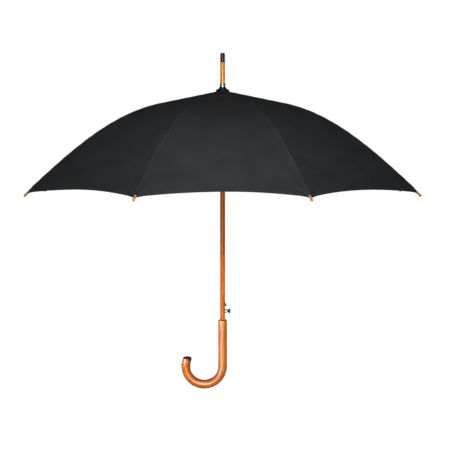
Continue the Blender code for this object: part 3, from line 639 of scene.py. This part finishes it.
def half_gore(gore, side, zone):
    """Half of a gore beside one rib, above or below the rib's joint. It rides on that rib."""
    rib = gore if side < 0 else (gore + 1) % RIBS
    name = f"canopy_{zone}_{'left' if side < 0 else 'right'}_{rib + 1}"
    rows, columns, slope_s, keep = ZONES[zone]
    share = np.linspace(0, 1, columns + 1) ** COLUMN_CROWDING
    u, v = np.meshgrid(np.linspace(0, 1, rows + 1), side * (1 - share), indexing="ij")
    if zone == "inner":
        s = CANOPY_HOLE_S + (JOINT_S - CANOPY_HOLE_S) * u
    else:
        s = JOINT_S + (hem_length(v) - JOINT_S) * (1 - (1 - u) ** ROW_CROWDING)
    top, normals = cloth_points(gore, s, v), cloth_normals(gore, s, v)
    under = top - CLOTH * normals
    count = (rows + 1) * (columns + 1)
    at = np.arange(count).reshape(rows + 1, columns + 1)
    quads = np.stack([at[:-1, :-1], at[1:, :-1], at[1:, 1:], at[:-1, 1:]], -1).reshape(-1, 4)
    border = [*at[:, 0], *at[-1, 1:], *at[-2::-1, -1], *at[0, -2:0:-1]]
    rim = [(i, j, j + count, i + count) for i, j in zip(border, border[1:] + border[:1])]
    if side > 0:
        quads = quads[:, ::-1]
    else:
        rim = [face[::-1] for face in rim]
    faces = [*map(tuple, quads.tolist()), *map(tuple, (quads[:, ::-1] + count).tolist()), *rim]
    mesh = bpy.data.meshes.new(name)
    mesh.from_pydata([*top.reshape(-1, 3).tolist(), *under.reshape(-1, 3).tolist()], [], faces)
    half_width = half_width_at(s)
    flat = np.stack([half_width * v, s], -1).reshape(-1, 2)
    edge = np.stack([(1 - np.abs(v)) * half_width, hem_length(v) - s], -1).reshape(-1, 2)
    for layer_name, values in (("Cloth", flat), ("Edges", edge)):
        layer = mesh.uv_layers.new(name=layer_name)
        loops = np.zeros(len(mesh.loops), np.int32)
        mesh.loops.foreach_get("vertex_index", loops)
        layer.data.foreach_set("uv", values[loops % count].astype(np.float32).ravel())
    obj = add_piece(name, mesh, PONGEE, f"rib_{zone}_{rib + 1}", ["canopy"], 0)
    every = np.concatenate([normals.reshape(-1, 3), -normals.reshape(-1, 3)])
    mesh.normals_split_custom_set_from_vertices(every.tolist())
    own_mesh(obj)


def build_canopy():
    """Eight gores, each in four pieces that meet on the gore's middle line and at the ribs' joints."""
    for gore in range(RIBS):
        for side in (-1, 1):
            for zone in ZONES:
                half_gore(gore, side, zone)


# ---------------------------------------------------------------- ribs


def build_ribs():
    """Fluted ribs, flat at the upper eye, with turned tips and thread ties."""
    steps = 110
    stations = [NOTCH_S + (RIB_END_S - 2 * MM - NOTCH_S) * i / steps for i in range(steps + 1)]
    wall, rise = 0.42 * MM, 1.25 * MM
    floor = rise - wall

    def channel(i):
        half = 0.8 * MM + 0.7 * MM * eased(stations[i], 26 * MM, 44 * MM)
        half -= 0.55 * MM * eased(stations[i], RIB_END_S - 16 * MM, RIB_END_S - 6 * MM)
        inner = half - wall
        outer = [(half, rise * 0.72), (half * 0.8, rise), (-half * 0.8, rise), (-half, rise * 0.72)]
        left = [(-half, -rise), (-inner, -rise), (-inner, floor * 0.7), (-inner * 0.7, floor)]
        right = [(inner * 0.7, floor), (inner, floor * 0.7), (inner, -rise), (half, -rise)]
        return outer + left + right

    start = rib_point(RIB_END_S + 0.8 * MM)
    direction = rib_direction(float(slope_at(RIB_END_S)) + math.radians(3))
    bead = in_mm((0, -5.0), (2.1, -5.0), (2.8, -3.4), (2.95, 0.5), (2.8, 5.0), (2.95, 8.0), (3.2, 10.2))
    bead += in_mm((2.8, 11.8), (1.6, 12.5), (0, 12.5))
    for i in range(RIBS):
        turn = rib_turn(i)
        mesh = sweep(f"rib_{i + 1}", [rib_point(s) for s in stations], channel)
        mesh.transform(turn)
        nodes = [f"rib_inner_{i + 1}", f"rib_outer_{i + 1}"]
        rib = add_piece(f"rib_{i + 1}", mesh, PAINTED, None, nodes)
        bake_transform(rib)
        tip = lathe("tip", rounded(bead, 0.6 * MM), 28, turn @ along(start, direction))
        add_piece(f"rib_tip_bead_{i + 1}", tip, TIP_WOOD, nodes[1], [f"rib_tip_{i + 1}"], 40)
        bm = bmesh.new()
        collar = turn @ along(start - direction * 0.9 * MM, direction)
        lathe_into(bm, wire_ring(1.15 * MM, 0.28 * MM), 20, collar, True)
        for s in THREAD_TIES:
            tangent = rib_direction(float(slope_at(s)))
            for k in (-1, 0, 1):
                loop = turn @ along(rib_point(s + k * 0.7 * MM, 0.45 * MM), tangent)
                lathe_into(bm, wire_ring(2.25 * MM, 0.26 * MM), 20, loop, True)
        add_piece(f"rib_thread_{i + 1}", mesh_of(bm, "thread"), THREAD, nodes[1], (), 60)


# ---------------------------------------------------------------- folding hardware


def rivet_into(bm, centre, direction, radius):
    dome = [(0, 0.55), (0.6, 0.45), (1, 0.12), (1, -0.2), (0, -0.2)]
    profile = [(r * radius, z * radius) for r, z in dome]
    lathe_into(bm, profile, 16, along(centre, direction))


def build_stretchers():
    """Stretchers and struts with domed rivets at their joints."""
    places = {joint["name"]: joint.get("pos_m") for joint in frame["joints"]}
    for i in range(RIBS):
        turn = rib_turn(i)
        tangent = turn.to_3x3() @ Vector((0, 1, 0))
        joint, pin = turn @ rib_point(JOINT_S), Vector(places[f"strut_hinge_{i + 1}"])

        def fork_rivets(bm):
            for side in (-1, 1):
                rivet_into(bm, joint + tangent * side * 2.95 * MM, tangent * side, 1.25 * MM)

        def strut_rivets(bm):
            rivet_into(bm, pin + tangent * 2.3 * MM, tangent, 1.2 * MM)
            rivet_into(bm, pin - tangent * 1.25 * MM, -tangent, 1.1 * MM)

        detailed_copy(f"stretcher_{i + 1}", PLATED, 0.2 * MM, fork_rivets)
        detailed_copy(f"strut_{i + 1}", PLATED, 0.2 * MM, strut_rivets)


def build_hubs():
    for name, bevel in (("top_notch", 0.25 * MM), ("runner", 0.3 * MM), ("spring_slider", 0.25 * MM)):
        detailed_copy(name, BLACK, bevel)
    wire = NODES["notch_wire"].data
    wire.materials.clear()
    wire.materials.append(PLATED)


def build_spring():
    """The main spring, with a closed turn at either end."""
    foot, head = heights("main_spring")
    low, high = foot + SPRING_WIRE, head - SPRING_WIRE
    per_turn, closed_pitch = 28, 1.1 * MM
    points = []
    for i in range(SPRING_TURNS * per_turn + 1):
        turn = i / per_turn
        share = min(1.0, max(0.0, (turn - 1) / (SPRING_TURNS - 2)))
        closed_rise = closed_pitch * (min(turn, 1) + max(0.0, turn - SPRING_TURNS + 1))
        z = low + closed_rise + (high - low - 2 * closed_pitch) * share
        angle = 2 * math.pi * turn
        points.append(Vector((SPRING_R * math.cos(angle), SPRING_R * math.sin(angle), z)))
    mesh = coil_mesh("main_spring_coil", points, SPRING_WIRE)
    spring = add_piece("main_spring_coil", mesh, PLATED, "runner", ["main_spring"], 0)
    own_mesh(spring)


# ---------------------------------------------------------------- spike, shaft and handle


def turned_collar(name, outline, radius, material, node_name):
    """A turned ring about the shaft. Its outline goes from its top to its bottom, outside."""
    loop = rounded_ring([(BORE_R, outline[0][1]), *outline, (BORE_R, outline[-1][1])], radius)
    add_piece(name, lathe(name, loop, 64, None, True), material, ROOT, [node_name])


def build_spike():
    """The flared seat, chrome collar, pale wooden spike and black cap, all turned."""
    z0, z1 = heights("spike_seat")
    seat = in_mm((8.4, 0), (8.6, -1.3), base=z1)
    seat += in_mm((9.1, 2.9), (10.4, 1.6), (13.0, 0.7), (13.0, 0), base=z0)
    turned_collar("flared_seat", seat, 0.25 * MM, BLACK, "spike_seat")
    z0, z1 = heights("spike_collar")
    collar = in_mm((7.5, 0), (8.1, -0.7), (8.1, -1.6), (7.8, -2.1), base=z1)
    collar += in_mm((7.8, 2.0), (8.1, 1.5), (8.1, 0.4), (7.8, 0), base=z0)
    turned_collar("chrome_collar", collar, 0.2 * MM, CHROME, "spike_collar")
    z0, z1 = heights("spike")
    shoulder, neck, taper = z0 + 2.0 * MM, z1 - 12.0 * MM, 8
    spike = [*in_mm((0, 0), (4.4, 0), base=z1), *in_mm((4.4, 0), (6.1, 0), base=neck)]
    for i in range(1, taper + 1):
        spike.append((6.1 * MM + 0.7 * MM * i / taper, neck + (shoulder - neck) * i / taper))
    spike += [(6.0 * MM, shoulder), *in_mm((6.0, 0), (3.4, 0), (3.4, 41.4), (0, 41.4), base=z0)]
    add_piece("spike_turned", lathe("spike", rounded(spike, 0.25 * MM)), SPIKE_WOOD, ROOT, ["spike"])
    z0, z1 = heights("spike_cap")
    cap = in_mm((0, 0), (3.9, 0), (5.4, -0.7), (5.9, -2.4), (6.1, -12), base=z1)
    cap += in_mm((6.2, 3.2), (5.95, 2.9), (5.95, 2.4), (6.3, 2.1), (6.3, 0), base=z0)
    cap += in_mm((4.7, 0), (4.7, 12), (0, 12), base=z0)
    mesh = lathe("cap", rounded(cap, 0.3 * MM))
    add_piece("spike_end_cap", mesh, BLACK, ROOT, ["spike_cap"])


def build_rosette():
    """The gathered cloth disc on top of the canopy: shallow pleats, and an edge that follows the cloth."""
    z0, z1 = heights("canopy_cap")
    seat_r = 14.0 * MM
    seat_z = z0 + (ROSETTE_R - seat_r) * math.tan(SLOPE_TOP)
    rim_r = ROSETTE_R - 1.0 * MM
    profile = [(BORE_R, z1), (rim_r, z1 - 0.1 * MM), (ROSETTE_R, z1 - 1.0 * MM), (ROSETTE_R, z0 - 0.6 * MM)]
    profile += [(rim_r, z0 - 0.4 * MM), (seat_r, seat_z), (BORE_R, seat_z)]
    mesh = lathe("rosette", rounded_ring(profile, 0.7 * MM, 4), 192, None, True)
    hem_z = float(seam_line(17 * MM)[1])
    for v in mesh.vertices:
        r, angle = math.hypot(v.co.x, v.co.y), math.atan2(v.co.y, v.co.x)
        pleat = eased(r, 9.5 * MM, 16 * MM) * 0.25 * MM * math.cos(ROSETTE_PLEATS * angle)
        shrink = 1 - abs(pleat) / max(r, 1e-6) * eased(r, 12 * MM, ROSETTE_R)
        v.co.x *= shrink
        v.co.y *= shrink
        if v.co.z > z0 + 1.4 * MM:
            v.co.z -= 0.15 * MM - pleat * 0.5
        elif r > 15.4 * MM:
            across = math.tan((angle - FIRST_RIB) % RIB_STEP - HALF_STEP) / math.tan(HALF_STEP)
            v.co.z = hem_z - 0.4 * MM * (1 - across**2) + 0.05 * MM
    add_piece("rosette", mesh, ROSETTE_CLOTH, ROOT, ["canopy_cap"], 50)


def build_shaft():
    """The wooden shaft at full roundness, with the same slot as the CAD node."""
    low, high = heights("shaft")
    pin_r, steps = 3.0 * MM, 12
    profile = [(0, high), (2.4 * MM, high), (pin_r, high - 1 * MM), (pin_r, SHAFT_SHOULDER_Z)]
    fall = low - SHAFT_SHOULDER_Z
    profile += [(SHAFT_R, SHAFT_SHOULDER_Z + fall * i / steps) for i in range(steps + 1)] + [(0, low)]
    shaft = add_piece("shaft_turned", lathe("shaft", profile, 72), SHAFT_WOOD, ROOT, ["shaft"])
    bm = bmesh.new()
    slot_low = BUTTON_Z + STEM_UP - 1.8 * MM
    bmesh.ops.create_cube(bm, size=1)
    bmesh.ops.scale(bm, vec=(2 * SHAFT_R, SLOT_WIDTH, SLOT_TOP_Z - slot_low), verts=bm.verts)
    bmesh.ops.translate(bm, vec=(SHAFT_R - 2 * MM, 0, (slot_low + SLOT_TOP_Z) / 2), verts=bm.verts)
    deep = [e for e in bm.edges if abs(e.verts[0].co.x - e.verts[1].co.x) > 5 * MM]
    bmesh.ops.bevel(bm, geom=deep, offset=1.5 * MM, segments=5, affect="EDGES")
    cut_away(shaft, bm, 30)


def build_handle():
    """The steam-bent crook: grain that follows the bend, a step at its top, and a dark domed end cap."""
    top = heights("handle")[1]
    grip_steps, bend_steps, end_steps = 30, 120, 10
    centre = Vector((-CROOK_R, 0, BEND_Z))
    sweep_angle = math.pi + CROOK_OVERRUN
    grip = [Vector((0, 0, top + (BEND_Z - top) * (i / grip_steps) ** 1.6)) for i in range(grip_steps + 1)]
    angles = [sweep_angle * i / bend_steps for i in range(1, bend_steps + 1)]
    bend = [centre + CROOK_R * Vector((math.cos(a), 0, -math.sin(a))) for a in angles]
    last = bend[-1]

    def end_point(z):
        return Vector((last.x + (z - last.z) * math.tan(CROOK_OVERRUN), 0, z))

    past_end = CROOK_END_Z + 6 * MM - last.z
    points = grip + bend + [end_point(last.z + past_end * (i + 1) / end_steps) for i in range(end_steps)]
    radii = []
    for i, point in enumerate(points):
        swell = 1 + GRIP_SWELL * max(0, i - grip_steps) / (bend_steps + end_steps)
        depth = top - point.z if i <= grip_steps else 1
        radii.append(GRIP_R * swell - 0.9 * MM * (1 - min(1.0, depth / (1.4 * MM))) ** 2)
    mesh = sweep("handle_bent", points, lambda i: circle(radii[i], 56), "Grain")
    handle = add_piece("handle_bent", mesh, HANDLE_WOOD, ROOT, ["handle"], 35)
    bm = bmesh.new()
    socket_r, foot, above = SHAFT_R + 0.25 * MM, 27.6 * MM, 65 * MM
    lathe_into(bm, [(0, foot), (socket_r, foot), (socket_r, above), (0, above)], 64, Matrix.Identity(4))
    tip = end_point(CROOK_END_Z)
    lathe_into(bm, in_mm((0, 0), (22, 0), (22, 20), (0, 20)), 64, Matrix.Translation(tip))
    cut_away(handle, bm, 35)
    dome = in_mm((0, 5.1), (4.4, 4.9), (7.8, 4.2), (9.9, 3.1), (11.1, 1.8), (11.5, 0.7), (11.45, 0), (0, 0))
    place = Matrix.Translation(tip + Vector((0, 0, 0.12 * MM)))
    cap = lathe("crook_cap", rounded(dome, 0.5 * MM), 56, place)
    add_piece("crook_end_cap", cap, DARK_WOOD, ROOT, ["handle_end_cap"], 60)


def build_catch():
    """The bottom catch, the push button with its stem, and the bent wire below the stem."""
    detailed_copy("bottom_catch", PAINTED_GLOSS, 0.25 * MM)
    centre, outward = Vector((0, 0, BUTTON_Z)), Vector((1, 0, 0))
    head = in_mm((0, 20.0), (2.4, 19.95), (4.3, 19.6), (5.7, 18.9), (6.3, 17.7), (6.1, 16.9), (5.0, 15.9))
    head += in_mm((4.1, 14.6), (3.8, 13.4), (3.3, 12.8), (0, 12.6))
    stem = in_mm((0, 14), (1.45, 14), (1.45, 1.9), (1.1, 1.6), (0, 1.6))
    bm = bmesh.new()
    lathe_into(bm, rounded(head, 0.4 * MM), 48, along(centre, outward))
    lathe_into(bm, stem, 20, along(centre + Vector((0, 0, STEM_UP)), outward))
    mesh = mesh_of(bm, "button")
    add_piece("push_button_turned", mesh, PAINTED_GLOSS, "push_button", ["push_button"], 40)
    start, reach, rise = SHAFT_R + 0.25 * MM, 12.3 * MM, 3.9 * MM
    route = [(start, -rise), (start + 0.6 * MM, -rise)]
    bend = np.linspace(-math.pi / 2, 0, 25)
    route += [(reach - rise + rise * math.cos(a), rise * math.sin(a)) for a in bend]
    points = [centre + Vector((x, 0, z)) for x, z in route]
    hoop = sweep("hoop", points, lambda i: circle(1.15 * MM, 14))
    hoop = add_piece("button_hoop", hoop, PAINTED_GLOSS, None, ["button_spring"], 50)
    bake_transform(hoop)


# ---------------------------------------------------------------- tie strap


def strap_point(s, aside, lift):
    """A point beside the strap's rib, a distance from the seam and above the cloth."""
    return cloth_points(STRAP_GORE, s, -1 + aside / float(half_width_at(s)), -lift)


def build_strap():
    """The folded strap beside a seam at the back, with raised edges."""
    rows, columns = 70, 14
    bm = bmesh.new()
    layer_cloth, layer_edges = bm.loops.layers.uv.new("Cloth"), bm.loops.layers.uv.new("Edges")

    def layer_of(lift, edge_rise):
        grid = []
        for i in range(rows + 1):
            s = STRAP_FROM_S + (STRAP_TO_S - STRAP_FROM_S) * i / rows
            row = []
            for k in range(columns + 1):
                t = k / columns
                aside = STRAP_NEAR + (STRAP_FAR - STRAP_NEAR) * t
                ridge = edge_rise * math.exp(-((min(t, 1 - t) - 0.09) ** 2) / 0.002)
                ripple = 0.12 * MM * math.sin(s / (3.1 * MM) + 5 * t)
                row.append((bm.verts.new(strap_point(s, aside, lift + ridge + ripple)), aside, s))
            grid.append(row)
        return grid

    def face(*corners):
        made = bm.faces.new([vertex for vertex, _, _ in corners])
        for loop, (_, aside, s) in zip(made.loops, corners):
            loop[layer_cloth].uv = (aside, s)
            loop[layer_edges].uv = (min(aside - STRAP_NEAR, STRAP_FAR - aside), 0.02)

    lower, upper = layer_of(STRAP_UNDER, 0.0), layer_of(STRAP_TOP, 0.35 * MM)
    for i in range(rows):
        for k in range(columns):
            face(upper[i][k], upper[i + 1][k], upper[i + 1][k + 1], upper[i][k + 1])
            face(lower[i][k], lower[i][k + 1], lower[i + 1][k + 1], lower[i + 1][k])
        face(lower[i][0], lower[i + 1][0], upper[i + 1][0], upper[i][0])
        face(lower[i][-1], upper[i][-1], upper[i + 1][-1], lower[i + 1][-1])
    for k in range(columns):
        face(lower[0][k], upper[0][k], upper[0][k + 1], lower[0][k + 1])
        face(lower[-1][k], lower[-1][k + 1], upper[-1][k + 1], upper[-1][k])
    mesh, body = mesh_of(bm, "strap"), f"rib_outer_{STRAP_RIB + 1}"
    strap = add_piece("tie_strap_sewn", mesh, WEBBING, body, ["tie_strap"], 50)


def build_stud():
    """The strap's domed press stud, square to the strap."""
    s, top = STRAP_FROM_S + 9 * MM, 1.5 * MM
    middle = (STRAP_NEAR + STRAP_FAR) / 2
    # One place across for both ends, so that they lie on one line down the gore
    share = -1 + middle / float(half_width_at(s))
    down = Vector(cloth_points(STRAP_GORE, s + 8 * MM, share, -top))
    down -= Vector(cloth_points(STRAP_GORE, s - 8 * MM, share, -top))
    across = Vector(strap_point(s, STRAP_FAR, top)) - Vector(strap_point(s, STRAP_NEAR, top))
    outward = down.cross(across).normalized()
    low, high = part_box("strap_stud")
    centre = (low + high) / 2 - outward * 0.8 * MM
    dome = in_mm((0, 1.5), (1.4, 1.45), (2.6, 1.1), (3.1, 0.65), (3.5, 0.55), (4.2, 0.55), (4.4, 0.3))
    dome += in_mm((4.3, 0), (0, 0))
    stud = lathe("stud", rounded(dome, 0.2 * MM), 40, along(centre, outward))
    body = f"rib_outer_{STRAP_RIB + 1}"
    add_piece("strap_snap", stud, PAINTED_GLOSS, body, ["strap_stud"], 40)


# ---------------------------------------------------------------- studio


def area_light(name, location, target, size, power, spread):
    data = bpy.data.lights.new(name, "AREA")
    data.shape = "RECTANGLE"
    data.size, data.size_y = size
    data.energy = power
    data.spread = math.radians(spread)
    obj = bpy.data.objects.new(name, data)
    obj.visible_camera = False
    obj.location = location
    obj.rotation_euler = (Vector(target) - Vector(location)).to_track_quat("-Z", "Y").to_euler()
    bpy.context.scene.collection.objects.link(obj)


def build_world(scene):
    """A white background, with little light of its own."""
    world = bpy.data.worlds.new("studio")
    scene.world = world
    world.use_nodes = True
    tree = world.node_tree
    seen = node(tree, "ShaderNodeLightPath").outputs["Is Camera Ray"]
    tree.links.new(remap(tree, seen, WORLD_LIGHT, 1.0), tree.nodes["Background"].inputs["Strength"])
    tree.nodes["Background"].inputs["Color"].default_value = (1, 1, 1, 1)


def build_floor(scene):
    """A glowing white floor, just below the crook, that puts no light on the umbrella."""
    bm = bmesh.new()
    bmesh.ops.create_grid(bm, x_segments=1, y_segments=1, size=60)
    floor = bpy.data.objects.new("floor", mesh_of(bm, "floor"))
    glow = {"Emission_Strength": FLOOR_GLOW, "Emission_Color": (1, 1, 1, 1)}
    made, tree, shader = principled("floor", Roughness=0.8, Specular_IOR_Level=0.1, **glow)
    clouds = noise(tree, coordinates(tree, (3, 3, 3)))
    tone = ramp(tree, clouds, [(0.3, (0.38, 0.38, 0.38)), (0.7, (0.42, 0.42, 0.42))])
    tree.links.new(tone, shader.inputs["Base Color"])
    floor.data.materials.append(made)
    floor.location.z = heights("handle")[0] - FLOOR_GAP
    scene.collection.objects.link(floor)
    floor.visible_diffuse = False
    floor.visible_glossy = False


def build_studio():
    scene = bpy.context.scene
    scene.view_settings.view_transform = "Standard"
    build_world(scene)
    build_floor(scene)
    for light in LIGHTS:
        area_light(*light)
    data = bpy.data.cameras.new("camera")
    data.sensor_width, data.lens, data.shift_x = SENSOR_MM, LENS_MM, LENS_SHIFT
    data.clip_end = 200
    camera = bpy.data.objects.new("camera", data)
    camera.location = CAMERA_AT
    camera.rotation_euler = (CAMERA_PITCH, 0, 0)
    scene.collection.objects.link(camera)
    scene.camera = camera


build_studio()
build_canopy()
build_ribs()
build_stretchers()
build_hubs()
build_spring()
build_rosette()
build_spike()
build_shaft()
build_handle()
build_catch()
build_strap()
build_stud()

bpy.context.view_layer.update()
